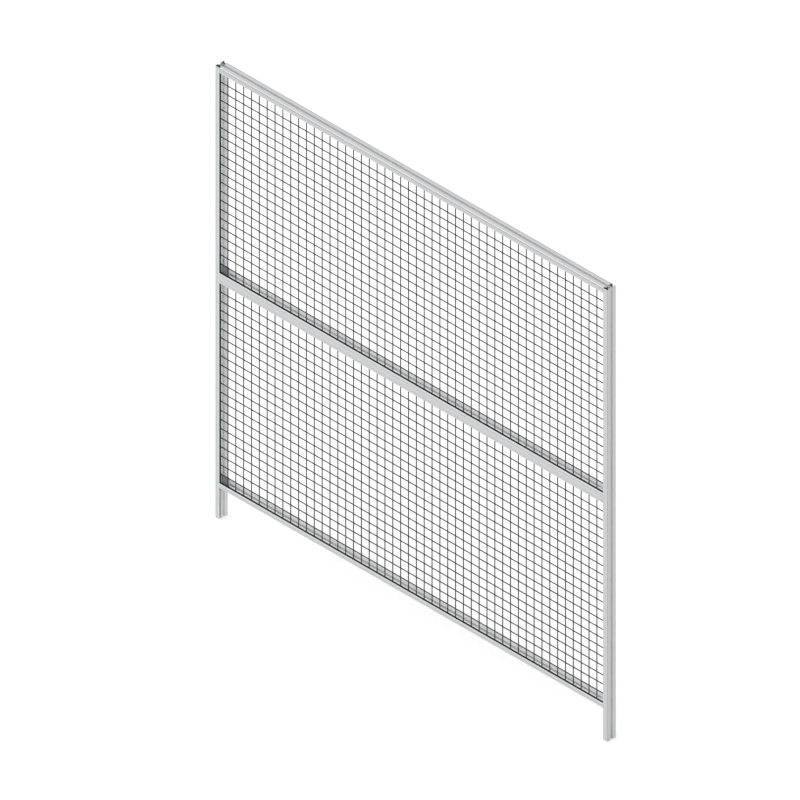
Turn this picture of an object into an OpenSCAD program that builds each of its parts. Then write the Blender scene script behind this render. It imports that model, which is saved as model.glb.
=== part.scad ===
// Machine guard fence panel: a frame of slotted aluminium profiles that holds two
// fields of welded wire mesh, with the two posts running on below as legs.
// Millimetres, +Z up, front face towards -Y. The origin is on the cut foot of the
// left post, at the centre of its profile.

/* [Frame] */
// Width over both posts
panel_w = 2000; // [1200:50:2400]
// Height of the posts
panel_h = 2000; // [1600:50:2400]
// Length of the legs below the bottom rail
leg_h = 137.5; // [80:2.5:250]

/* [Profiles] */
// Width of a post, and height of the top and bottom rails
profile_w = 22.5; // [22.5:0.5:30]
// Depth of every profile, front to back
profile_d = 45; // [45:1:60]
// Height of the middle rail
mid_h = 45; // [45:1:60]
// Radius of the outer corners
corner_r = 1.6; // [0.8:0.2:1.8]
// Radius of the front corner on the closed side, away from the panel groove
nose_r = 4.8; // [3:0.2:5]
// Depth of the scribed centre lines on the front faces
scribe_d = 0.6; // [0.2:0.1:0.8]
// Height of the strip of front face that each scribed line is centred on
scribe_module = 22.5; // [18:0.5:22.5]

/* [T-slots] */
// Width of the slot's mouth
slot_w = 10; // [8:0.5:11]
// Thickness of the lips on each side of the mouth
slot_lip = 3; // [2:0.25:3.5]
// Width of the slot behind the lips
slot_inner_w = 15; // [14:0.5:15.5]
// Depth of the slot's full width behind the lips
slot_shoulder = 2.5; // [2:0.25:2.75]
// Width of the slot's floor
slot_floor_w = 9; // [6:0.5:10]
// Depth of the tapered part, from the full width to the floor
slot_taper = 3.5; // [3:0.25:4]

/* [Deep slots, in the back of the narrow profiles] */
// Width of a deep slot behind its lips
deep_inner_w = 18; // [15:0.5:18]
// Depth of its full width behind the lips
deep_shoulder = 3; // [2.5:0.25:3.25]
// Width of its floor
deep_floor_w = 7; // [6:0.5:8]
// Depth of its tapered part
deep_taper = 8; // [6:0.5:8]

/* [Panel groove] */
// Thickness of the front wall, in front of the groove
front_wall = 1.8; // [1.8:0.1:2.4]
// Width of the groove, front to back
groove_w = 8.4; // [8:0.1:9]
// Depth of the groove
groove_d = 19; // [16:0.5:20]
// Width of the relief in the groove's back wall, in the narrow profiles
relief_w = 8; // [6:0.5:9]
// Depth of the relief
relief_d = 3.8; // [3:0.2:4]

/* [Middle rail chambers] */
// Diameter of the core bore
core_d = 8.5; // [6:0.5:10]
// Thickness of the tube round the core bore
core_wall = 2.5; // [2:0.25:3]
// Thickness of the inner walls and webs
chamber_wall = 2; // [1.5:0.25:2.5]

/* [Wire mesh] */
// Distance between wires, before it is evened out over a field
mesh_pitch = 40; // [40:5:60]
// Thickness of a wire across its corners
wire_d = 4; // [3:0.1:4.2]
// Depth to which two wires are welded into each other
weld_sink = 0.3; // [0.2:0.05:0.5]
// Distance from a post's inner face to the first upright wire, inside the groove
edge_inset = 2.5; // [2:0.5:5]
// Distance that the mesh has slid to the right in its grooves
mesh_slide = 2.9; // [0:0.1:3]
// Distance that the mesh has settled downwards in its grooves
mesh_settle = 2.5; // [0:0.1:3]
// Length of the wires inside each groove
wire_reach = 12; // [9:0.5:12]

/* [Edge strips] */
// Thickness of the strip behind the wire ends
strip_back = 1.5; // [1:0.25:2]
// Clearance between the wire ends and the back of the strip
strip_clear = 0.3; // [0.2:0.1:0.5]

/* [Corner plates] */
// Thickness of a corner plate
plate_t = 1.5; // [1:0.25:3]

/* [Slot keys] */
// Length of each leg of a key, from the inner corner
key_leg = 35; // [25:1:40]
// Thickness of a key
key_t = 3.5; // [3:0.25:3.5]
// Width of a key behind the lips
key_w = 12; // [10:0.5:12]
// Clearance between the neck of a key and the slot's mouth, both sides together
key_clear = 0.4; // [0.2:0.1:0.8]

/* [Plugs in the top ends of the posts] */
// Length of a plug, down into the post
plug_h = 8; // [5:0.5:12]
// Distance from the cut end down to a plug
plug_sink = 0.5; // [0.25:0.25:1]
// Clearance between a plug and the walls of its hollow
plug_clear = 0.2; // [0.1:0.05:0.3]

/* [Hidden] */

$fn = 32;
cut = 1;                                  // how far a cutting shape runs past a face
slot_d = slot_lip + slot_shoulder + slot_taper;
scribe_w = 2 * scribe_d;

front_y = -profile_d / 2;
left_x = profile_w / 2;                   // inner face of the left post
right_x = panel_w - profile_w * 3 / 2;    // inner face of the right post
field_w = right_x - left_x;
field_h = (panel_h - leg_h - 2 * profile_w - mid_h) / 2;
bottom_z = leg_h;
lower_z = bottom_z + profile_w;           // floor of the lower field
mid_z = lower_z + field_h;
upper_z = mid_z + mid_h;                  // floor of the upper field
top_z = upper_z + field_h;

mesh_y = front_y + front_wall + groove_w / 2;
wire_flat = wire_d * cos(30);             // thickness of a wire across its flats
layer_step = wire_flat - weld_sink;       // from one layer of wires to the other
mesh_t = wire_flat + layer_step;
cells_x = round((field_w + 2 * edge_inset) / mesh_pitch);
cells_z = round(field_h / mesh_pitch);
pitch_x = (field_w + 2 * edge_inset) / cells_x;
pitch_z = field_h / cells_z;
first_x = left_x - edge_inset + mesh_slide;   // the first upright wire
strip_d = wire_reach + strip_clear + strip_back;

// ---- Profile sections: x runs across the profile, y from its front to its back ----

module rounded_rect(w, d, r) {
    translate([r, 0]) square([w - 2 * r, d]);
    translate([0, r]) square([w, d - 2 * r]);
    for (x = [r, w - r], y = [r, d - r]) translate([x, y]) circle(r);
}

// A rounded rectangle with a wide radius on its corner at the origin
module nosed_rect(w, d, r, nose) {
    difference() {
        rounded_rect(w, d, r);
        translate([-cut, -cut]) square(nose + cut);
    }
    translate([nose, nose]) circle(nose);
}

// The hollow behind a T-slot's lips, which opens upwards and is smaller by a gap all round
module slot_hollow(inner_w, shoulder, floor_w, taper, gap = 0) {
    half = [inner_w, floor_w] / 2 - [1.5, 1.5] * gap;
    top = -slot_lip - gap;
    bend = -slot_lip - shoulder;
    polygon([[half[0], top], [half[0], bend], [half[1], bend - taper + gap],
        [-half[1], bend - taper + gap], [-half[0], bend], [-half[0], top]]);
}

module slot_mouth() {
    translate([-slot_w / 2, -slot_lip - cut]) square([slot_w, slot_lip + 2 * cut]);
}

// T-slots that open upwards, with the middle of the mouth at the origin
module t_slot() {
    slot_mouth();
    slot_hollow(slot_inner_w, slot_shoulder, slot_floor_w, slot_taper);
}

module deep_slot() {
    slot_mouth();
    slot_hollow(deep_inner_w, deep_shoulder, deep_floor_w, deep_taper);
}

module scribe_line(x) {
    translate([x, 0]) polygon([[-scribe_w / 2, 0], [-scribe_w / 2, -cut],
        [scribe_w / 2, -cut], [scribe_w / 2, 0], [0, scribe_d]]);
}

// The groove for a panel's edge, which opens towards +x at x = w
module panel_groove(w) {
    translate([w - groove_d, front_wall]) square([groove_d + cut, groove_w]);
}

// Post, top rail and bottom rail: the panel groove is on the +x side
module narrow_section() {
    difference() {
        nosed_rect(profile_w, profile_d, corner_r, nose_r);
        panel_groove(profile_w);
        translate([(profile_w - relief_w) / 2, front_wall]) square([relief_w, groove_w + relief_d]);
        translate([0, profile_d / 2]) rotate(90) t_slot();
        translate([profile_w, profile_d / 2]) rotate(-90) t_slot();
        translate([profile_w / 2, profile_d]) deep_slot();
        scribe_line(profile_w / 2);
    }
}

// Hollow round the core bore of the middle rail, crossed by diagonal webs
module core_chamber() {
    w = mid_h - 2 * (slot_d + chamber_wall);
    d = profile_d - 2 * (front_wall + groove_w + chamber_wall);
    difference() {
        square([w, d], center = true);
        circle(d = core_d + 2 * core_wall);
        for (side = [-1, 1])
            rotate(side * atan2(d, w)) square([w + d, chamber_wall], center = true);
    }
    circle(d = core_d);
}

// Square hollow in a back corner of the middle rail, between its two T-slots
module corner_chamber() {
    w = (min(mid_h, profile_d) - slot_inner_w) / 2 - 3 * chamber_wall;
    translate([chamber_wall, profile_d - chamber_wall - w]) square(w);
}

// Middle rail: a panel groove and a T-slot above and below, a T-slot behind
module mid_section() {
    difference() {
        rounded_rect(mid_h, profile_d, corner_r);
        panel_groove(mid_h);
        translate([mid_h, 0]) mirror([1, 0]) panel_groove(mid_h);
        translate([0, profile_d / 2]) rotate(90) t_slot();
        translate([mid_h, profile_d / 2]) rotate(-90) t_slot();
        translate([mid_h / 2, profile_d]) t_slot();
        translate([mid_h / 2, profile_d / 2]) core_chamber();
        corner_chamber();
        translate([mid_h, 0]) mirror([1, 0]) corner_chamber();
        scribe_line(scribe_module / 2);
        scribe_line(mid_h - scribe_module / 2);
    }
}

// ---- Frame ----

module post() {
    color("gainsboro")
        translate([-profile_w / 2, front_y, 0]) linear_extrude(panel_h) narrow_section();
}

// Carries a section along X between the posts, its x direction turned upwards
module between_posts(z) {
    translate([left_x, front_y, z]) mirror([1, 0, -1]) linear_extrude(field_w) children();
}

module left_post() { post(); }
module right_post() { translate([panel_w - profile_w, 0, 0]) mirror([1, 0, 0]) post(); }
module bottom_rail() { color("gainsboro") between_posts(bottom_z) narrow_section(); }
module mid_rail() { color("gainsboro") between_posts(mid_z) mid_section(); }
module top_rail() {
    color("gainsboro")
        translate([0, 0, 2 * top_z + profile_w]) mirror([0, 0, 1])
            between_posts(top_z) narrow_section();
}

// ---- Wire mesh ----

module upright_wire(k, floor_z) {
    translate([first_x + k * pitch_x, mesh_y - layer_step / 2, floor_z - wire_reach])
        cylinder(h = field_h + 2 * wire_reach, d = wire_d, $fn = 6);
}

module level_wire(k, floor_z, from_x, to_x) {
    translate([from_x, mesh_y + layer_step / 2, floor_z - mesh_settle + k * pitch_z])
        rotate([0, 90, 0]) cylinder(h = to_x - from_x, d = wire_d, $fn = 6);
}

// Third number part of a field's mesh: its upright wires with their stretch of level wires
module mesh_part(part, floor_z) {
    wires = cells_x + 1;
    first = ceil(part * wires / 3);
    last = ceil((part + 1) * wires / 3) - 1;
    start_x = first_x - pitch_x / 2;
    from_x = part == 0 ? left_x - wire_reach : start_x + first * pitch_x;
    to_x = part == 2 ? right_x + wire_reach : start_x + (last + 1) * pitch_x;
    color("#2b2c2e") union() {
        for (k = [first:last]) upright_wire(k, floor_z);
        for (k = [0:cells_z]) level_wire(k, floor_z, from_x, to_x);
    }
}

module upper_mesh_left() { mesh_part(0, upper_z); }
module upper_mesh_mid() { mesh_part(1, upper_z); }
module upper_mesh_right() { mesh_part(2, upper_z); }
module lower_mesh_left() { mesh_part(0, lower_z); }
module lower_mesh_mid() { mesh_part(1, lower_z); }
module lower_mesh_right() { mesh_part(2, lower_z); }

// ---- Edge strips: channels that fill the groove and grip the mesh ----

// Section of a strip, its mouth at x = 0 and its back towards -x
module strip_section() {
    difference() {
        translate([-strip_d, -groove_w / 2]) square([strip_d, groove_w]);
        translate([-strip_d + strip_back, -mesh_t / 2]) square([strip_d, mesh_t]);
    }
}

module side_strip(floor_z) {
    color("#1d1e20")
        translate([left_x, mesh_y, floor_z]) linear_extrude(field_h) strip_section();
}

module level_strip(z) {
    color("#1d1e20")
        translate([left_x, mesh_y, z]) mirror([1, 0, -1]) linear_extrude(field_w) strip_section();
}

module mirror_sides() { translate([left_x + right_x, 0, 0]) mirror([1, 0, 0]) children(); }
module mirror_levels(z) { translate([0, 0, 2 * z]) mirror([0, 0, 1]) children(); }

module strip_upper_left() { side_strip(upper_z); }
module strip_upper_right() { mirror_sides() side_strip(upper_z); }
module strip_upper_top() { mirror_levels(top_z) level_strip(top_z); }
module strip_upper_bottom() { level_strip(upper_z); }
module strip_lower_left() { side_strip(lower_z); }
module strip_lower_right() { mirror_sides() side_strip(lower_z); }
module strip_lower_top() { mirror_levels(mid_z) level_strip(mid_z); }
module strip_lower_bottom() { level_strip(lower_z); }

// ---- Corner plates: they stand on the rail behind the first mesh cell ----

module corner_plate(floor_z) {
    w = first_x + pitch_x + wire_d / 2 - left_x;
    h = pitch_z - mesh_settle + wire_d / 2;
    color("#6c6e70")
        translate([left_x, mesh_y + mesh_t / 2, floor_z]) cube([w, plate_t, h]);
}

module upper_corner_plate() { corner_plate(upper_z); }
module lower_corner_plate() { corner_plate(lower_z); }

// ---- Slot keys: L-shaped joints in the slots of a post and a rail ----

// The inner corner is at the origin, the rail runs towards +X and lies below it
module slot_key() {
    back = slot_lip + key_t;
    neck_w = slot_w - key_clear;
    color("silver") union() {
        translate([-back, -key_w / 2, -back]) cube([key_t, key_w, key_leg + back]);
        translate([-back, -neck_w / 2, -back]) cube([back + cut, neck_w, key_t]);
        translate([0, -key_w / 2, -back]) cube([key_leg, key_w, key_t]);
    }
}

module key_top_left() { translate([left_x, 0, top_z]) mirror([0, 0, 1]) slot_key(); }
module key_mid_left() { translate([left_x, 0, upper_z]) slot_key(); }
module key_bottom_left() { translate([left_x, 0, lower_z]) slot_key(); }
module key_top_right() { mirror_sides() key_top_left(); }
module key_mid_right() { mirror_sides() key_mid_left(); }
module key_bottom_right() { mirror_sides() key_bottom_left(); }

// ---- Plugs: they close the groove and the deep slot at the top end of each post ----

module groove_plug() {
    gap = plug_clear;
    translate([profile_w - groove_d + gap, front_wall + gap])
        square([groove_d - 2 * gap, groove_w - 2 * gap]);
    translate([(profile_w - relief_w) / 2 + gap, front_wall + gap])
        square([relief_w - 2 * gap, groove_w + relief_d - 2 * gap]);
}

module slot_plug() {
    translate([profile_w / 2, profile_d])
        slot_hollow(deep_inner_w, deep_shoulder, deep_floor_w, deep_taper, plug_clear);
}

module plug() {
    color("#222325")
        translate([-profile_w / 2, front_y, panel_h - plug_sink - plug_h])
            linear_extrude(plug_h) children();
}

module plug_left_groove() { plug() groove_plug(); }
module plug_left_slot() { plug() slot_plug(); }
module plug_right_groove() { mirror_sides() plug_left_groove(); }
module plug_right_slot() { mirror_sides() plug_left_slot(); }

left_post();
right_post();
top_rail();
mid_rail();
bottom_rail();
upper_mesh_left();
upper_mesh_mid();
upper_mesh_right();
lower_mesh_left();
lower_mesh_mid();
lower_mesh_right();
strip_upper_left();
strip_upper_right();
strip_upper_top();
strip_upper_bottom();
strip_lower_left();
strip_lower_right();
strip_lower_top();
strip_lower_bottom();
upper_corner_plate();
lower_corner_plate();
key_top_left();
key_top_right();
key_mid_left();
key_mid_right();
key_bottom_left();
key_bottom_right();
plug_left_groove();
plug_left_slot();
plug_right_groove();
plug_right_slot();
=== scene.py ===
"""Machine guard fence panel.

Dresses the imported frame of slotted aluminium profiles, strings its two fields with round
welded wire, and sets it on a plain white stage. Every piece takes its place from the frame.
"""

import math

import bpy
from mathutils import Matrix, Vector


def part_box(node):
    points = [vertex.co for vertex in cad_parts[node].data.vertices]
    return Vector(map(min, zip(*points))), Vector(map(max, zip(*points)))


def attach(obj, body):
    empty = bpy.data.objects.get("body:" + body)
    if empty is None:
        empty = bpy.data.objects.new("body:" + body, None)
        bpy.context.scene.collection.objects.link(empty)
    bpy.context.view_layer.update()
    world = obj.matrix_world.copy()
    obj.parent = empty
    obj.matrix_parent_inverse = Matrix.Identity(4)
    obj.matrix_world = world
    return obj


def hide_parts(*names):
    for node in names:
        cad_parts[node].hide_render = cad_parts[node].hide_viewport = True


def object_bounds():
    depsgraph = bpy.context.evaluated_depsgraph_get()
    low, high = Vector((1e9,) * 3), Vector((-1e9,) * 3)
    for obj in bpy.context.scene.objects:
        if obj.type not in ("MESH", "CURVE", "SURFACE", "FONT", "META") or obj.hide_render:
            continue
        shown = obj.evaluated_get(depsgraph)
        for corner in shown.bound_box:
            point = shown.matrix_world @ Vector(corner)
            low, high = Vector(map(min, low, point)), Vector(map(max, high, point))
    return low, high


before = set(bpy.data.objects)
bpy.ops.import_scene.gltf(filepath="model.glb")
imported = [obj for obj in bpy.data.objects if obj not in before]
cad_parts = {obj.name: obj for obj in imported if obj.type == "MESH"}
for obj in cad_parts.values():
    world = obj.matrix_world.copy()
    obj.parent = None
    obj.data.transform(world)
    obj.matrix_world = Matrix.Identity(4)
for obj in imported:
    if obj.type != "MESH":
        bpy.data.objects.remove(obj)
CAD_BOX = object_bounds()

bl_info = {
    "name": "Machine Guard Fence Panel",
    "version": (1, 0, 0),
    "blender": (4, 5, 0),
    "location": "View3D > Sidebar > Fence Panel",
    "description": "Wire mesh, finishes and stage for a machine guard fence panel",
    "category": "Object",
}

MM = 0.001
SKIN = 0.3 * MM  # thickness of a zone of tone that lies on one face
SCRIBE_MODULE = 22.5 * MM  # distance between a rail's scribed lines

POSTS = ("left_post", "right_post")
RAILS = ("top_rail", "mid_rail", "bottom_rail")
FIELDS = {"upper": ("mid_rail", "top_rail"), "lower": ("bottom_rail", "mid_rail")}
MESH_PARTS = ("left", "mid", "right")
STRIP_SIDES = ("left", "right", "top", "bottom")
KEY_ROWS = ("top", "mid", "bottom")
PLUG_PLACES = ("groove", "slot")


# ---- Measures taken from the frame ----


def box(name):
    """Lowest and highest corner of a frame node."""
    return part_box(name)


def field_limits(field):
    """The opening of a field: lowest x, highest x, lowest z, highest z."""
    below, above = FIELDS[field]
    return (box("left_post")[1].x, box("right_post")[0].x, box(below)[1].z, box(above)[0].z)


def mesh_nodes(field):
    return [f"{field}_mesh_{part}" for part in MESH_PARTS]


def mesh_layers(wire):
    """Y of the upright and of the level wires: the frame's bars are six-sided and lie flat
    against the faces of their box."""
    low, high = box("upper_mesh_left")
    inset = wire * math.cos(math.radians(30)) / 2
    return low.y + inset, high.y - inset


# ---- Settings ----


class FenceMeshSizes(bpy.types.PropertyGroup):
    """Sizes of the welded wire mesh."""

    wire: bpy.props.FloatProperty(
        name="Wire", description="Diameter of a coated wire", default=4.2 * MM, unit="LENGTH"
    )
    cells_across: bpy.props.IntProperty(
        name="Cells across", description="Mesh cells along a field", default=49
    )
    cells_up: bpy.props.IntProperty(
        name="Cells up", description="Mesh cells over the height of a field", default=22
    )
    edge_inset: bpy.props.FloatProperty(
        name="Edge inset",
        description="Distance from a post's inner face to the first upright wire, in the groove",
        default=2.5 * MM,
        unit="LENGTH",
    )
    slide: bpy.props.FloatProperty(
        name="Slide",
        description="Distance that the mesh has slid to the right in its grooves",
        default=2.9 * MM,
        unit="LENGTH",
    )
    settle_upper: bpy.props.FloatProperty(
        name="Settle, upper",
        description="Distance that the upper mesh has settled downwards in its grooves",
        default=2.5 * MM,
        unit="LENGTH",
    )
    settle_lower: bpy.props.FloatProperty(
        name="Settle, lower",
        description="Distance that the lower mesh has settled downwards in its grooves",
        default=1.85 * MM,
        unit="LENGTH",
    )
    reach: bpy.props.FloatProperty(
        name="Reach",
        description="Length of the wires in each groove",
        default=12 * MM,
        unit="LENGTH",
    )
    weld: bpy.props.FloatProperty(
        name="Weld",
        description="Diameter of the bead at a crossing",
        default=5.6 * MM,
        unit="LENGTH",
    )


class FenceColours(bpy.types.PropertyGroup):
    """Colours of the finishes, as sRGB hex."""

    profile: bpy.props.StringProperty(
        name="Profiles", description="Natural anodised aluminium", default="#CFD0D1"
    )
    wire: bpy.props.StringProperty(
        name="Wire", description="Black powder coat on the mesh", default="#1E1F20"
    )
    strip: bpy.props.StringProperty(
        name="Edge strips", description="Black rubber in the grooves", default="#141516"
    )
    # The corner plates are dark sheets that stand in for the shade in a corner of each field:
    # painted shade
    shade_plate: bpy.props.StringProperty(
        name="Corner plates", description="Dark grey sheet, painted corner shade", default="#6A6C6E"
    )
    key: bpy.props.StringProperty(
        name="Slot keys", description="Zinc-plated steel", default="#DCDDDE"
    )
    screw: bpy.props.StringProperty(
        name="Grub screws", description="Zinc-plated steel", default="#CDCFD0"
    )
    plug: bpy.props.StringProperty(
        name="Plugs", description="Black polyamide in the post ends", default="#131415"
    )


class FenceStageSizes(bpy.types.PropertyGroup):
    """Sizes of the stage and its light."""

    floor: bpy.props.FloatProperty(
        name="Floor", description="Side of the square floor", default=60.0, unit="LENGTH"
    )
    view_width: bpy.props.FloatProperty(
        name="View width", description="Width that the camera sees", default=2.8930, unit="LENGTH"
    )
    azimuth: bpy.props.FloatProperty(
        name="Azimuth",
        description="Turn of the camera round the panel, from straight on",
        default=math.radians(44.792),
        subtype="ANGLE",
    )
    elevation: bpy.props.FloatProperty(
        name="Elevation",
        description="Height of the camera over the horizon",
        default=math.radians(35.295),
        subtype="ANGLE",
    )
    sky: bpy.props.FloatProperty(
        name="Sky", description="Strength of the even light from all round", default=0.72
    )
    sun: bpy.props.FloatProperty(
        name="Sun", description="Strength of the soft light from the front", default=1.2
    )


# ---- Materials ----


def linear(code):
    """A colour written as sRGB hex, as linear red, green, blue and alpha."""
    parts = [int(code[i : i + 2], 16) / 255 for i in (1, 3, 5)]
    return [c / 12.92 if c <= 0.04045 else ((c + 0.055) / 1.055) ** 2.4 for c in parts] + [1.0]


def shaded(code, factor):
    """The colour darkened or lightened by a factor."""
    return [min(c * factor, 1.0) for c in linear(code)[:3]] + [1.0]


def add_node(tree, kind, inputs=None, **settings):
    """Adds a node. inputs maps a socket's name or number to a value or to another's output."""
    made = tree.nodes.new(kind)
    for name, value in settings.items():
        setattr(made, name, value)
    for key, value in (inputs or {}).items():
        if isinstance(value, bpy.types.NodeSocket):
            tree.links.new(value, made.inputs[key])
        else:
            made.inputs[key].default_value = value
    return made


def new_material(name):
    material = bpy.data.materials.new(name)
    material.use_nodes = True
    return material, material.node_tree, material.node_tree.nodes["Principled BSDF"]


def per_metre(length_mm):
    """Scale of a pattern that repeats about once in this many millimetres."""
    return 1 / (length_mm * MM)


def zone_mask(tree, where, zone):
    """1 inside the zone and 0 outside: a zone gives an axis its middle and half width."""
    mask = None
    for axis, (middle, half) in zone.items():
        test = add_node(
            tree, "ShaderNodeMath", {0: where.outputs[axis], 1: middle, 2: half},
            operation="COMPARE",
        )
        if mask is None:
            mask = test
        else:
            mask = add_node(
                tree, "ShaderNodeMath", {0: mask.outputs[0], 1: test.outputs[0]},
                operation="MULTIPLY",
            )
    return mask.outputs[0]


def lay_painted_light_and_shade(tree, where, skin, colour, zones):
    """Lays zones of another tone over a colour: painted light and painted shade."""
    for zone, tone in zones:
        laid = add_node(
            tree,
            "ShaderNodeMix",
            {0: zone_mask(tree, where, zone), 6: skin, 7: shaded(colour, tone)},
            data_type="RGBA",
        )
        skin = laid.outputs[2]
    return skin


def anodised_profile(name, colour, along, stripes, ends=()):
    """Aluminium, extruded and natural anodised: a satin grey with fine die lines that run
    the length of the bar, a slow drift of tone, and sawn cut ends. stripes and ends are
    zones of a lighter or darker tone, laid on the faces and on the cut ends: painted light
    and painted shade."""
    material, tree, shader = new_material(name)
    place = add_node(tree, "ShaderNodeTexCoord")
    across = per_metre(2.2)  # die lines are about 0.3 mm apart: drawn as coarse as they show
    slow = per_metre(420)
    stretch = {"X": (slow, across, across), "Z": (across, across, slow)}[along]
    lines_at = add_node(
        tree, "ShaderNodeMapping", {"Vector": place.outputs["Object"], "Scale": stretch}
    )
    lines = add_node(
        tree,
        "ShaderNodeTexNoise",
        {"Vector": lines_at.outputs[0], "Scale": 1.0, "Detail": 4.0, "Roughness": 0.6},
    )
    drift = add_node(
        tree,
        "ShaderNodeTexNoise",
        {"Vector": place.outputs["Object"], "Scale": per_metre(260), "Detail": 2.0},
    )
    grain = add_node(
        tree,
        "ShaderNodeTexNoise",
        {"Vector": place.outputs["Object"], "Scale": per_metre(0.9), "Detail": 2.0},
    )
    tone = add_node(
        tree,
        "ShaderNodeMath",
        {0: lines.outputs["Fac"], 1: 0.55, 2: 0.0},
        operation="MULTIPLY_ADD",
    )
    tone = add_node(
        tree,
        "ShaderNodeMath",
        {0: drift.outputs["Fac"], 1: 0.45, 2: tone.outputs[0]},
        operation="MULTIPLY_ADD",
    )
    body = add_node(
        tree,
        "ShaderNodeMix",
        {0: tone.outputs[0], 6: shaded(colour, 0.93), 7: shaded(colour, 1.07)},
        data_type="RGBA",
    )

    where = add_node(tree, "ShaderNodeSeparateXYZ", {0: place.outputs["Object"]})
    # Painted light and shade along the faces
    skin = lay_painted_light_and_shade(tree, where, body.outputs[2], colour, stripes)

    # The saw leaves shallow arcs and a brighter, rougher metal on the cut ends
    turned = add_node(tree, "ShaderNodeSeparateXYZ", {0: place.outputs["Normal"]})
    facing = add_node(
        tree, "ShaderNodeMath", {0: turned.outputs[along]}, operation="ABSOLUTE"
    )
    sawn = add_node(
        tree, "ShaderNodeMath", {0: facing.outputs[0], 1: 0.9}, operation="GREATER_THAN"
    )
    arcs = add_node(
        tree,
        "ShaderNodeTexWave",
        {
            "Vector": place.outputs["Object"],
            "Scale": per_metre(1.2) * 2 * math.pi / 20,
            "Distortion": 3.0,
            "Detail": 2.0,
            "Detail Scale": 1.5,
        },
        wave_type="BANDS",
        bands_direction="Y",
    )
    cut = add_node(
        tree,
        "ShaderNodeMix",
        {0: arcs.outputs["Fac"], 6: shaded(colour, 0.88), 7: shaded(colour, 1.1)},
        data_type="RGBA",
    )
    surface = add_node(
        tree,
        "ShaderNodeMix",
        {0: sawn.outputs[0], 6: skin, 7: cut.outputs[2]},
        data_type="RGBA",
    )
    # Painted shade on the cut ends
    surface = lay_painted_light_and_shade(tree, where, surface.outputs[2], colour, ends)
    satin = add_node(
        tree,
        "ShaderNodeMapRange",
        {"Value": lines.outputs["Fac"], "To Min": 0.36, "To Max": 0.50},
    )
    rough = add_node(
        tree,
        "ShaderNodeMath",
        {0: sawn.outputs[0], 1: 0.14, 2: satin.outputs[0]},
        operation="MULTIPLY_ADD",
    )
    relief = add_node(
        tree,
        "ShaderNodeMix",
        {0: sawn.outputs[0], 2: lines.outputs["Fac"], 3: arcs.outputs["Fac"]},
        data_type="FLOAT",
    )
    etched = add_node(
        tree,
        "ShaderNodeMath",
        {0: grain.outputs["Fac"], 1: 0.35, 2: relief.outputs[0]},
        operation="MULTIPLY_ADD",
    )
    bump = add_node(
        tree,
        "ShaderNodeBump",
        {"Height": etched.outputs[0], "Strength": 0.25, "Distance": 0.04 * MM},
    )
    shader.inputs["Metallic"].default_value = 0.25
    tree.links.new(surface, shader.inputs["Base Color"])
    tree.links.new(rough.outputs[0], shader.inputs["Roughness"])
    tree.links.new(bump.outputs[0], shader.inputs["Normal"])
    return material


def powder_coat(name, colour, peel_mm, roughness, gloss, pale=()):
    """Steel under a baked powder coat: an even colour with a soft sheen, a faint orange
    peel, and a dusting of lighter specks where the powder lay thin. pale is a list of
    zones of a paler tone: painted light."""
    material, tree, shader = new_material(name)
    place = add_node(tree, "ShaderNodeTexCoord")
    peel = add_node(
        tree,
        "ShaderNodeTexNoise",
        {"Vector": place.outputs["Object"], "Scale": per_metre(peel_mm), "Detail": 3.0},
    )
    cloud = add_node(
        tree,
        "ShaderNodeTexNoise",
        {"Vector": place.outputs["Object"], "Scale": per_metre(180), "Detail": 3.0},
    )
    specks = add_node(
        tree,
        "ShaderNodeTexVoronoi",
        {"Vector": place.outputs["Object"], "Scale": per_metre(5)},
    )
    thin = add_node(
        tree,
        "ShaderNodeMapRange",
        {"Value": specks.outputs["Distance"], "From Min": 0.12, "From Max": 0.05, "To Max": 0.5},
    )
    tinted = add_node(
        tree,
        "ShaderNodeMix",
        {0: cloud.outputs["Fac"], 6: shaded(colour, 0.82), 7: shaded(colour, 1.18)},
        data_type="RGBA",
    )
    coat = add_node(
        tree,
        "ShaderNodeMix",
        {0: thin.outputs[0], 6: tinted.outputs[2], 7: shaded(colour, 1.6)},
        data_type="RGBA",
    )
    sheen = add_node(
        tree,
        "ShaderNodeMapRange",
        {
            "Value": peel.outputs["Fac"],
            "To Min": roughness - 0.07,
            "To Max": roughness + 0.07,
        },
    )
    bump = add_node(
        tree,
        "ShaderNodeBump",
        {"Height": peel.outputs["Fac"], "Strength": 0.3, "Distance": 0.05 * MM},
    )
    shader.inputs["Specular IOR Level"].default_value = gloss
    where = add_node(tree, "ShaderNodeSeparateXYZ", {0: place.outputs["Object"]})
    # Painted light: the pale zones
    skin = lay_painted_light_and_shade(tree, where, coat.outputs[2], colour, pale)
    tree.links.new(skin, shader.inputs["Base Color"])
    tree.links.new(sheen.outputs[0], shader.inputs["Roughness"])
    tree.links.new(bump.outputs[0], shader.inputs["Normal"])
    return material


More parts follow.
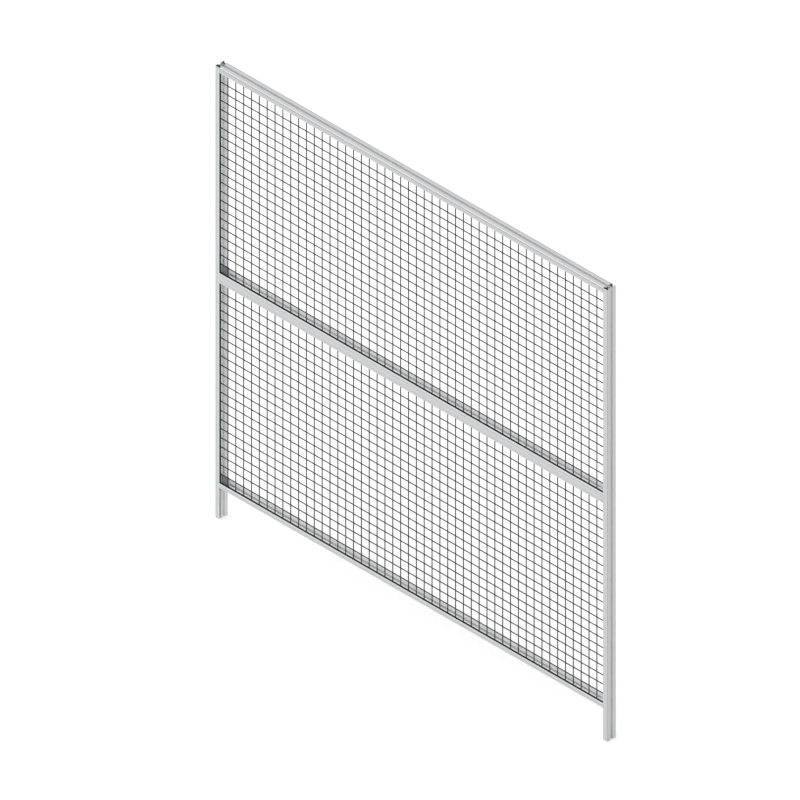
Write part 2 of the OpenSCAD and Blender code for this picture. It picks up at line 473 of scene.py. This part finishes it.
def extruded_rubber(name, colour):
    """Black EPDM rubber, extruded: dull, with faint drag marks and a bloom of paler dust."""
    material, tree, shader = new_material(name)
    place = add_node(tree, "ShaderNodeTexCoord")
    bloom = add_node(
        tree,
        "ShaderNodeTexNoise",
        {"Vector": place.outputs["Object"], "Scale": per_metre(35), "Detail": 5.0},
    )
    grain = add_node(
        tree,
        "ShaderNodeTexNoise",
        {"Vector": place.outputs["Object"], "Scale": per_metre(0.8), "Detail": 3.0},
    )
    skin = add_node(
        tree,
        "ShaderNodeMix",
        {0: bloom.outputs["Fac"], 6: shaded(colour, 0.75), 7: shaded(colour, 1.35)},
        data_type="RGBA",
    )
    dull = add_node(
        tree,
        "ShaderNodeMapRange",
        {"Value": grain.outputs["Fac"], "To Min": 0.68, "To Max": 0.86},
    )
    bump = add_node(
        tree,
        "ShaderNodeBump",
        {"Height": grain.outputs["Fac"], "Strength": 0.35, "Distance": 0.06 * MM},
    )
    shader.inputs["Specular IOR Level"].default_value = 0.2
    tree.links.new(skin.outputs[2], shader.inputs["Base Color"])
    tree.links.new(dull.outputs[0], shader.inputs["Roughness"])
    tree.links.new(bump.outputs[0], shader.inputs["Normal"])
    return material


def moulded_plastic(name, colour):
    """Black polyamide, moulded: a spark-eroded grain that breaks up the light, with paler
    clouds where the glass fibres lie near the surface."""
    material, tree, shader = new_material(name)
    place = add_node(tree, "ShaderNodeTexCoord")
    clouds = add_node(
        tree,
        "ShaderNodeTexNoise",
        {"Vector": place.outputs["Object"], "Scale": per_metre(6), "Detail": 4.0},
    )
    pits = add_node(
        tree,
        "ShaderNodeTexVoronoi",
        {"Vector": place.outputs["Object"], "Scale": per_metre(0.6)},
    )
    skin = add_node(
        tree,
        "ShaderNodeMix",
        {0: clouds.outputs["Fac"], 6: shaded(colour, 0.8), 7: shaded(colour, 1.3)},
        data_type="RGBA",
    )
    matt = add_node(
        tree,
        "ShaderNodeMapRange",
        {"Value": pits.outputs["Distance"], "To Min": 0.6, "To Max": 0.75},
    )
    bump = add_node(
        tree,
        "ShaderNodeBump",
        {"Height": pits.outputs["Distance"], "Strength": 0.3, "Distance": 0.05 * MM},
    )
    shader.inputs["Specular IOR Level"].default_value = 0.25
    tree.links.new(skin.outputs[2], shader.inputs["Base Color"])
    tree.links.new(matt.outputs[0], shader.inputs["Roughness"])
    tree.links.new(bump.outputs[0], shader.inputs["Normal"])
    return material


def plated_steel(name, colour, metallic, roughness):
    """Steel, zinc plated: small crystals that take the light each in their own way, and
    rubbed spots that shine a little more."""
    material, tree, shader = new_material(name)
    place = add_node(tree, "ShaderNodeTexCoord")
    crystals = add_node(
        tree,
        "ShaderNodeTexVoronoi",
        {"Vector": place.outputs["Object"], "Scale": per_metre(1.5)},
    )
    rubbed = add_node(
        tree,
        "ShaderNodeTexNoise",
        {"Vector": place.outputs["Object"], "Scale": per_metre(9), "Detail": 4.0},
    )
    metal = add_node(
        tree,
        "ShaderNodeMix",
        {0: crystals.outputs["Distance"], 6: shaded(colour, 1.1), 7: shaded(colour, 0.8)},
        data_type="RGBA",
    )
    shine = add_node(
        tree,
        "ShaderNodeMapRange",
        {
            "Value": rubbed.outputs["Fac"],
            "To Min": roughness - 0.1,
            "To Max": roughness + 0.12,
        },
    )
    bump = add_node(
        tree,
        "ShaderNodeBump",
        {"Height": crystals.outputs["Distance"], "Strength": 0.2, "Distance": 0.03 * MM},
    )
    shader.inputs["Metallic"].default_value = metallic
    tree.links.new(metal.outputs[2], shader.inputs["Base Color"])
    tree.links.new(shine.outputs[0], shader.inputs["Roughness"])
    tree.links.new(bump.outputs[0], shader.inputs["Normal"])
    return material


def white_floor(name):
    """Seamless white paper: it fades to plain white for the camera and keeps a soft shadow."""
    material, tree, shader = new_material(name)
    rays = add_node(tree, "ShaderNodeLightPath")
    seen = add_node(
        tree,
        "ShaderNodeMath",
        {0: rays.outputs["Is Camera Ray"], 1: rays.outputs["Is Glossy Ray"]},
        operation="MAXIMUM",
    )
    glow = add_node(
        tree, "ShaderNodeMath", {0: seen.outputs[0], 1: 0.36}, operation="MULTIPLY"
    )
    shader.inputs["Base Color"].default_value = linear("#EAEAEA")
    shader.inputs["Roughness"].default_value = 1.0
    shader.inputs["Specular IOR Level"].default_value = 0.0
    shader.inputs["Emission Color"].default_value = linear("#FFFFFF")
    tree.links.new(glow.outputs[0], shader.inputs["Emission Strength"])
    return material


# ---- Modelling helpers ----


def deselect_all():
    bpy.ops.object.select_all(action="DESELECT")


def select_only(*objects):
    deselect_all()
    for piece in objects:
        piece.select_set(True)
    bpy.context.view_layer.objects.active = objects[0]


def settle_place(piece):
    """Moves the piece's place, turn and scale into its mesh."""
    select_only(piece)
    bpy.ops.object.transform_apply(location=True, rotation=True, scale=True)


def repeat(piece, count, step):
    """Copies the piece in a row, each copy one step on from the last."""
    settle_place(piece)
    array = piece.modifiers.new("Row", "ARRAY")
    array.use_relative_offset = False
    array.use_constant_offset = True
    array.constant_offset_displace = step
    array.count = count
    bpy.ops.object.modifier_apply(modifier=array.name)


def finish_piece(name, parts, material, replaced=()):
    """Joins the parts into one named piece that rides on the frame."""
    select_only(*parts)
    if len(parts) > 1:
        bpy.ops.object.join()
    piece = bpy.context.view_layer.objects.active
    piece.name = name
    piece.data.name = name
    settle_place(piece)
    piece.data.materials.clear()
    piece.data.materials.append(material)
    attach(piece, "root")
    if replaced:
        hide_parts(*replaced)
    return piece


def dress(name, material):
    """Gives a frame node its finish."""
    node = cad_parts[name]
    node.data.materials.clear()
    node.data.materials.append(material)


# ---- Wire mesh ----


def wire_bar(wire, length, centre, turn):
    """A round wire whose cut ends are lightly rounded over."""
    deselect_all()
    bpy.ops.mesh.primitive_cylinder_add(
        vertices=12, radius=wire / 2, depth=length, location=centre, rotation=turn
    )
    bar = bpy.context.view_layer.objects.active
    bpy.ops.object.mode_set(mode="EDIT")
    bpy.ops.mesh.select_all(action="DESELECT")
    bpy.ops.object.mode_set(mode="OBJECT")
    for polygon in bar.data.polygons:
        polygon.select = len(polygon.vertices) > 4
    bpy.ops.object.mode_set(mode="EDIT")
    bpy.ops.mesh.bevel(offset=wire * 0.12, segments=1, affect="EDGES")
    bpy.ops.object.mode_set(mode="OBJECT")
    bpy.ops.object.shade_smooth_by_angle(angle=math.radians(50))
    return bar


def weld_bead(diameter, depth, centre):
    """The low bead of metal that is squeezed out where two wires are welded."""
    deselect_all()
    bpy.ops.mesh.primitive_ico_sphere_add(
        subdivisions=2, radius=diameter / 2, location=centre, scale=(1, depth / diameter, 1)
    )
    bpy.ops.object.shade_smooth()
    return bpy.context.view_layer.objects.active


class FENCE_OT_wire_mesh(bpy.types.Operator):
    """Strings both fields with round welded wire in place of the frame's plain bars"""

    bl_idname = "fence.wire_mesh"
    bl_label = "Wire Mesh"

    def execute(self, context):
        sizes = context.scene.fence_mesh
        coat = powder_coat(
            "Black powder-coated wire", context.scene.fence_colours.wire,
            peel_mm=1.6, roughness=0.42, gloss=0.3,
        )
        for field in FIELDS:
            low_x, high_x, low_z, high_z = field_limits(field)
            step_x = (high_x - low_x + 2 * sizes.edge_inset) / sizes.cells_across
            step_z = (high_z - low_z) / sizes.cells_up
            first_x = low_x - sizes.edge_inset + sizes.slide
            first_z = low_z - getattr(sizes, f"settle_{field}")
            front_y, back_y = mesh_layers(sizes.wire)

            uprights = wire_bar(
                sizes.wire,
                high_z - low_z + 2 * sizes.reach,
                (first_x, front_y, (low_z + high_z) / 2),
                (0, 0, 0),
            )
            repeat(uprights, sizes.cells_across + 1, (step_x, 0, 0))
            levels = wire_bar(
                sizes.wire,
                high_x - low_x + 2 * sizes.reach,
                ((low_x + high_x) / 2, back_y, first_z),
                (0, math.pi / 2, 0),
            )
            repeat(levels, sizes.cells_up + 1, (0, 0, step_z))
            beads = weld_bead(
                sizes.weld, sizes.wire * 0.8, (first_x, (front_y + back_y) / 2, first_z)
            )
            repeat(beads, sizes.cells_across + 1, (step_x, 0, 0))
            repeat(beads, sizes.cells_up + 1, (0, 0, step_z))
            finish_piece(
                f"{field}_wire_mesh", [uprights, levels, beads], coat,
                mesh_nodes(field),
            )
        return {"FINISHED"}


# ---- Grub screws ----


def grub_screw(diameter, length, centre, axis):
    """A headless screw with a hexagon socket sunk into its face."""
    turn = {"X": (0, math.pi / 2, 0), "Z": (0, 0, 0), "-Z": (math.pi, 0, 0)}[axis]
    deselect_all()
    bpy.ops.mesh.primitive_cylinder_add(
        vertices=24, radius=diameter / 2, depth=length, location=centre, rotation=turn
    )
    screw = bpy.context.view_layer.objects.active
    bpy.ops.mesh.primitive_cylinder_add(
        vertices=6, radius=diameter * 0.29, depth=length, location=centre, rotation=turn
    )
    socket = bpy.context.view_layer.objects.active
    socket.location += screw.matrix_world.to_3x3() @ Vector((0, 0, length * 0.45))
    select_only(screw)
    hollow = screw.modifiers.new("Socket", "BOOLEAN")
    hollow.operation = "DIFFERENCE"
    hollow.object = socket
    hollow.solver = "EXACT"
    bpy.ops.object.modifier_apply(modifier=hollow.name)
    bpy.data.objects.remove(socket)
    edge = screw.modifiers.new("Edge", "BEVEL")
    edge.width = diameter * 0.05
    edge.segments = 1
    edge.limit_method = "ANGLE"
    select_only(screw)
    bpy.ops.object.modifier_apply(modifier=edge.name)
    return screw


class FENCE_OT_grub_screws(bpy.types.Operator):
    """Puts two socket grub screws in the rail leg of every slot key"""

    bl_idname = "fence.grub_screws"
    bl_label = "Grub Screws"

    def execute(self, context):
        colours = context.scene.fence_colours
        steel = plated_steel("Zinc-plated screws", colours.screw, metallic=0.4, roughness=0.4)
        diameter, length, proud = 6 * MM, 5 * MM, 0.6 * MM
        slot_lip = 3 * MM
        shares = (0.45, 0.8)  # places of the two screws along a leg
        inner_left = box("left_post")[1].x
        inner_right = box("right_post")[0].x
        for row in KEY_ROWS:
            low_left, high_left = box(f"key_{row}_left")
            up = row != "top"
            corner_z = box("top_rail")[0].z if not up else box(f"{row}_rail")[1].z
            reach_z = (high_left.z if up else low_left.z) - corner_z
            reach_x = high_left.x - inner_left
            rail_face_z = corner_z - math.copysign(slot_lip, reach_z)
            screws = []
            for inner, sign in ((inner_left, 1), (inner_right, -1)):
                for share in shares:
                    along = inner + sign * share * reach_x
                    screws.append(
                        grub_screw(
                            diameter, length,
                            (along, 0, rail_face_z - math.copysign(length / 2 - proud, reach_z)),
                            "Z" if up else "-Z",
                        )
                    )
            finish_piece(f"grub_screws_{row}", screws, steel)
        return {"FINISHED"}


# ---- Short plugs ----


class FENCE_OT_short_plugs(bpy.types.Operator):
    """Closes the inner part of each deep slot with a plug that leaves its mouth free"""

    bl_idname = "fence.short_plugs"
    bl_label = "Short Plugs"

    def execute(self, context):
        plastic = moulded_plastic("Black polyamide, short", context.scene.fence_colours.plug)
        width, depth = 15.4 * MM, 6.4 * MM
        front_share = 0.42  # width of the front face, towards the slot's floor
        for side in ("left", "right"):
            node = f"plug_{side}_slot"
            low, high = box(node)
            deselect_all()
            bpy.ops.mesh.primitive_cube_add(
                size=1,
                location=((low.x + high.x) / 2, low.y + depth / 2, (low.z + high.z) / 2),
                scale=(width, depth, high.z - low.z),
            )
            plug = bpy.context.view_layer.objects.active
            settle_place(plug)
            bpy.ops.object.mode_set(mode="EDIT")
            bpy.ops.mesh.select_all(action="DESELECT")
            bpy.ops.object.mode_set(mode="OBJECT")
            for polygon in plug.data.polygons:
                polygon.select = polygon.normal.y < -0.9
            bpy.ops.object.mode_set(mode="EDIT")
            bpy.ops.transform.resize(value=(front_share, 1, 1))
            bpy.ops.object.mode_set(mode="OBJECT")
            finish_piece(f"short_plug_{side}", [plug], plastic, [node])
        return {"FINISHED"}


# ---- Finishes on the frame's own nodes ----


def zone(tone, **limits):
    """A zone of tone, from its lowest and highest place along each axis named."""
    return {
        axis: ((low + high) / 2, (high - low) / 2) for axis, (low, high) in limits.items()
    }, tone


def post_painted_light_and_shade(name):
    """Painted light and shade on a post: the hollows painted bright, the outer slot and the
    panel side a little less so, a painted shaded line down the outer side behind the
    rounded corner and a fainter one at its back corner, and on the left post a painted
    highlight on the front face beside the groove."""
    low, high = box(name)
    front, back, middle = low.y, high.y, (low.y + high.y) / 2
    inner_x, outer_x = (high.x, low.x) if name == "left_post" else (low.x, high.x)

    def face(at, reach, depth_low, depth_high, tone):
        return zone(tone, X=(at - reach, at + reach), Y=(depth_low, depth_high))

    stripes = [
        # Painted light: every surface inside the outline, in the hollows and slots, lightened
        zone(
            1.4, X=(low.x + 1.7 * MM, high.x - 1.7 * MM),
            Y=(front + 1.7 * MM, back - 1.7 * MM),
        ),
        # Painted light in the outer slot
        face(outer_x, 10 * MM, middle - 10 * MM, middle + 10 * MM, 1.18),
        face(outer_x, SKIN, front + 5 * MM, back, 1.0),
        # Painted light on the panel side behind the groove, lifting the shade that the mesh casts
        face(inner_x, SKIN, front + 10 * MM, back, 1.2),
        # Painted shade: a dark line on the outer side just behind the rounded front corner
        face(outer_x, 2 * MM, front + 1.2 * MM, front + 4.5 * MM, 0.82),
        # Painted shade along the outer side's back corner
        face(outer_x, 2 * MM, back - 4 * MM, back + SKIN, 0.93),
    ]
    if name == "left_post":
        # Painted highlight on the left post's front face beside the groove
        stripes.append(
            zone(1.14, X=(inner_x - 4.5 * MM, inner_x + SKIN), Y=(front - SKIN, front + 1.7 * MM))
        )
    return stripes


def post_end_painted_shade(name):
    """Painted shade on the top end of a post, in place of small chambers that its solid
    lacks: at the groove, in front of the side slots, on the web between them, and at the
    floor of the deep slot; and painted shade on the back lip at the low x side of the top,
    where it turns from the light. They are tone alone and have no depth."""
    low, high = box(name)
    middle_x, middle_y = (low.x + high.x) / 2, (low.y + high.y) / 2
    inward = 1 if name == "left_post" else -1

    def top(x_from, x_to, y_from, y_to, depth, tone):
        """A zone from its limits in millimetres: x towards the panel, y to the back."""
        across = sorted((middle_x + inward * x_from * MM, middle_x + inward * x_to * MM))
        return zone(
            tone, X=across, Y=(middle_y + y_from * MM, middle_y + y_to * MM),
            Z=(high.z - depth * MM, high.z + SKIN),
        )

    return [
        # Painted shade on the back lip at the low x side of the top, where it turns from the
        # light
        zone(
            0.5, X=(low.x, middle_x - 2.5 * MM), Y=(middle_y + 14.5 * MM, high.y),
            Z=(high.z - 3 * MM, high.z + SKIN),
        ),
        # Painted shade where chambers and hollows would lie dark
        top(-10, 12, -8.5, 8, 2.0, 0.48),
        top(-9.3, 12, -20.7, -11.4, 0.3, 0.08),
        top(-3, 6.5, -9.2, -5.5, 0.3, 0.03),
        top(-6.5, 10, 7.7, 14.5, 0.3, 0.05),
    ]


def rail_painted_light_and_shade(name):
    """Painted light and shade on a rail: painted shade in the scribed lines; on the middle
    and the bottom rail painted light on the lands, a painted highlight on the front edge
    and painted shade at the groove's back edge; a painted shaded and a painted highlight
    line along the top rail's rounded corner and painted shade along its back edge; and a
    painted highlight on the bottom rail's lower front edge."""
    low, high = box(name)
    front, back = low.y, high.y
    lines = [low.z + SCRIBE_MODULE / 2]
    if name == "mid_rail":
        lines.append(high.z - SCRIBE_MODULE / 2)

    def top_face(reach, depth_low, depth_high, tone):
        return zone(tone, Z=(high.z - reach, high.z + SKIN), Y=(depth_low, depth_high))

    stripes = [
        # Painted shade in the scribed lines
        zone(0.5, Z=(z - 0.65 * MM, z + 0.65 * MM), Y=(front + 0.05 * MM, front + 0.9 * MM))
        for z in lines
    ]
    if name == "top_rail":
        stripes += [
            # Painted shade on the front face just below the rounded corner
            zone(
                0.6, Z=(high.z - 4.6 * MM, high.z - 1.4 * MM), Y=(front - SKIN, front + 1.5 * MM)
            ),
            # Painted highlight on the top face just behind the rounded corner
            top_face(1.4 * MM, front + 1.5 * MM, front + 5.5 * MM, 1.14),
            # Painted shade along the back edge
            top_face(2 * MM, back - 6 * MM, back + SKIN, 0.78),
        ]
    else:
        stripes += [
            # Painted highlight on the front edge
            top_face(4.5 * MM, front - SKIN, front + 1.7 * MM, 1.12),
            # Painted shade at the back edge of the groove
            top_face(SKIN, front + 10 * MM, front + 11.4 * MM, 0.5),
            # Painted light on the lands behind the mesh, in this and the next zone, lifting the
            # shade that the mesh casts
            top_face(SKIN, front + 11.4 * MM, front + 20 * MM, 1.33),
            top_face(SKIN, front + 20 * MM, back, 1.15),
        ]
    if name == "bottom_rail":
        # Painted highlight along the lower front edge
        stripes.append(
            zone(1.08, Z=(low.z - SKIN, low.z + 5 * MM), Y=(front - SKIN, front + 5 * MM))
        )
    return stripes


def shade_plate_lit_edges(name):
    """The paler edges of a corner sheet: painted light where its painted corner shade fades."""
    low, high = box(name)
    return [
        zone(5.0, X=(low.x - SKIN, low.x + 4 * MM)),
        zone(3.8, X=(high.x - 5.5 * MM, high.x + SKIN)),
        zone(4.0, Z=(high.z - 4 * MM, high.z + SKIN)),
    ]


class FENCE_OT_frame_finish(bpy.types.Operator):
    """Dresses the posts, rails, edge strips, corner plates, slot keys and plugs"""

    bl_idname = "fence.frame_finish"
    bl_label = "Frame Finish"

    def execute(self, context):
        colours = context.scene.fence_colours
        for name in POSTS:
            label = f"Anodised aluminium, {name.replace('_', ' ')}"
            finish = anodised_profile(
                label, colours.profile, "Z", post_painted_light_and_shade(name), post_end_painted_shade(name)
            )
            dress(name, finish)
        for name in RAILS:
            label = f"Anodised aluminium, {name.replace('_', ' ')}"
            dress(name, anodised_profile(label, colours.profile, "X", rail_painted_light_and_shade(name)))
        rubber = extruded_rubber("Black EPDM rubber", colours.strip)
        for field in FIELDS:
            for side in STRIP_SIDES:
                dress(f"strip_{field}_{side}", rubber)
        # The corner plates stand in for the shade in the lower left corner of each field: painted
        # shade, with their edges painted lighter where that shade fades
        for field in FIELDS:
            shade_plate = f"{field}_corner_plate"
            label = f"Painted corner shade sheet, {field}"
            coat = powder_coat(
                label, colours.shade_plate, peel_mm=2.0, roughness=0.5, gloss=0.4,
                pale=shade_plate_lit_edges(shade_plate),
            )
            dress(shade_plate, coat)
        zinc = plated_steel("Zinc-plated steel", colours.key, metallic=0.3, roughness=0.42)
        for row in KEY_ROWS:
            for side in ("left", "right"):
                dress(f"key_{row}_{side}", zinc)
        plastic = moulded_plastic("Black polyamide", colours.plug)
        for side in ("left", "right"):
            for place in PLUG_PLACES:
                dress(f"plug_{side}_{place}", plastic)
        return {"FINISHED"}


# ---- Stage ----


class FENCE_OT_stage(bpy.types.Operator):
    """Sets the floor, the light and the camera"""

    bl_idname = "fence.stage"
    bl_label = "Stage"

    def execute(self, context):
        scene = context.scene
        sizes = scene.fence_stage
        low, high = CAD_BOX
        centre = (low + high) / 2

        deselect_all()
        bpy.ops.mesh.primitive_plane_add(size=sizes.floor, location=(centre.x, centre.y, low.z))
        floor = bpy.context.view_layer.objects.active
        floor.name = "floor"
        floor.data.materials.append(white_floor("White paper"))

        bpy.ops.object.light_add(type="SUN", location=(3, -6, 6))
        lamp = bpy.context.view_layer.objects.active
        lamp.name = "soft_sun"
        lamp.data.energy = sizes.sun
        lamp.data.angle = math.radians(110)
        to_light = Vector((-0.5, -0.62, 0.6))
        lamp.rotation_euler = to_light.to_track_quat("Z", "Y").to_euler()

        world = bpy.data.worlds.new("Even white room")
        scene.world = world
        world.use_nodes = True
        tree = world.node_tree
        rays = add_node(tree, "ShaderNodeLightPath")
        seen = add_node(
            tree,
            "ShaderNodeMath",
            {0: rays.outputs["Is Camera Ray"], 1: rays.outputs["Is Glossy Ray"]},
            operation="MAXIMUM",
        )
        seen = add_node(
            tree,
            "ShaderNodeMath",
            {0: seen.outputs[0], 1: rays.outputs["Is Transmission Ray"]},
            operation="MAXIMUM",
        )
        strength = add_node(
            tree,
            "ShaderNodeMapRange",
            {"Value": seen.outputs[0], "To Min": sizes.sky, "To Max": 1.0},
        )
        background = tree.nodes["Background"]
        background.inputs["Color"].default_value = (1, 1, 1, 1)
        tree.links.new(strength.outputs[0], background.inputs["Strength"])

        turn, rise = sizes.azimuth, sizes.elevation
        outward = Vector(
            (math.sin(turn) * math.cos(rise), -math.cos(turn) * math.cos(rise), math.sin(rise))
        )
        aim = low + Vector((944.1 * MM, 0, 988.9 * MM))
        distance = 9
        bpy.ops.object.camera_add(location=aim + outward * distance)
        camera = bpy.context.view_layer.objects.active
        camera.rotation_euler = outward.to_track_quat("Z", "Y").to_euler()
        camera.data.type = "ORTHO"
        camera.data.ortho_scale = sizes.view_width
        camera.data.clip_end = 200
        scene.camera = camera
        scene.view_settings.view_transform = "Standard"
        return {"FINISHED"}


# ---- Panel and registration ----


class FENCE_PT_sidebar(bpy.types.Panel):
    bl_idname = "FENCE_PT_sidebar"
    bl_label = "Fence Panel"
    bl_space_type = "VIEW_3D"
    bl_region_type = "UI"
    bl_category = "Fence Panel"

    def draw(self, context):
        layout = self.layout
        scene = context.scene
        for heading, group in (
            ("Wire mesh", scene.fence_mesh),
            ("Colours", scene.fence_colours),
            ("Stage", scene.fence_stage),
        ):
            column = layout.box().column(align=True)
            column.label(text=heading)
            for name in group.__annotations__:
                column.prop(group, name)
        column = layout.column(align=True)
        for operator in OPERATORS:
            column.operator(operator.bl_idname)


GROUPS = {
    "fence_mesh": FenceMeshSizes,
    "fence_colours": FenceColours,
    "fence_stage": FenceStageSizes,
}
OPERATORS = (
    FENCE_OT_frame_finish,
    FENCE_OT_wire_mesh,
    FENCE_OT_grub_screws,
    FENCE_OT_short_plugs,
    FENCE_OT_stage,
)


def register():
    for name, group in GROUPS.items():
        bpy.utils.register_class(group)
        setattr(bpy.types.Scene, name, bpy.props.PointerProperty(type=group))
    for operator in OPERATORS:
        bpy.utils.register_class(operator)
    bpy.utils.register_class(FENCE_PT_sidebar)


def unregister():
    bpy.utils.unregister_class(FENCE_PT_sidebar)
    for operator in reversed(OPERATORS):
        bpy.utils.unregister_class(operator)
    for name, group in GROUPS.items():
        delattr(bpy.types.Scene, name)
        bpy.utils.unregister_class(group)


def main():
    register()
    bpy.ops.fence.frame_finish()
    bpy.ops.fence.wire_mesh()
    bpy.ops.fence.grub_screws()
    bpy.ops.fence.short_plugs()
    bpy.ops.fence.stage()


if __name__ == "__main__":
    main()
